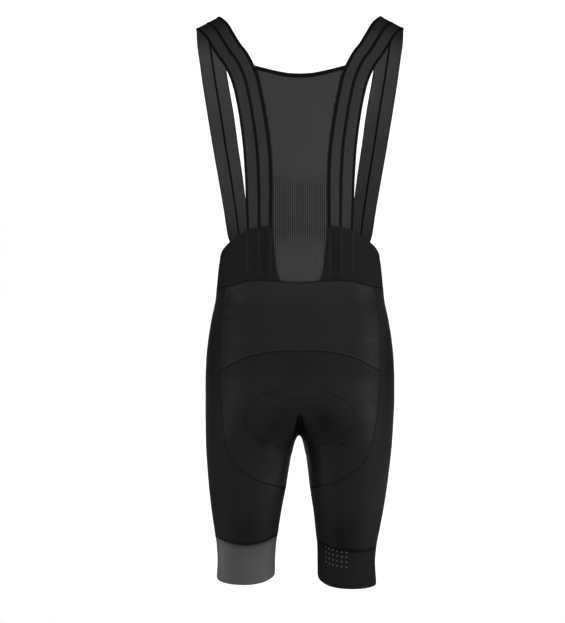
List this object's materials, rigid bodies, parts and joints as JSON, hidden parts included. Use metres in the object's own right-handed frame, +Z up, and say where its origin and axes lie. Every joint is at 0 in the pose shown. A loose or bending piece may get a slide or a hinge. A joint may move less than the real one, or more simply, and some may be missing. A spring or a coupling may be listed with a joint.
{
  "type": "cycling bib shorts",
  "caption": "Close-fitting cycling bib shorts in hollow worn form: ribbed shoulder straps, knitted back panel, waist panel, shaped seat, leg panels, leg cuffs and an inner seat pad.",
  "frame": {"origin": "midway between the tops of the two shoulder straps, where the wearer's shoulders hold the garment up", "axes": "+Z up, the wearer's back faces -Y, the wearer's right is +X"},
  "size_m": [0.3476, 0.2353, 0.9347],
  "materials": {
    "open_knit": "open polyester knit, matt",
    "binding": "folded elastane binding",
    "ribbed_elastic": "ribbed elastic webbing, matt",
    "matt_knit": "warp knit, matt",
    "glossy_knit": "smooth warp knit, half gloss",
    "leg_knit": "warp knit, matt",
    "grey_knit": "grey melange elastic knit",
    "grip_knit": "black elastic knit with light printed dots",
    "pad": "knit-faced foam"
  },
  "bodies": {
    "root": {"back_mesh": "open_knit", "neck_binding": "binding", "strap_left": "ribbed_elastic", "strap_right": "ribbed_elastic", "waist_panel": "matt_knit", "upper_back": "glossy_knit", "seat_left": "glossy_knit", "seat_right": "glossy_knit", "leg_left": "leg_knit", "leg_right": "leg_knit", "cuff_left": "grey_knit", "cuff_right": "grip_knit", "seat_pad": "pad"}
  },
  "joints": []
}
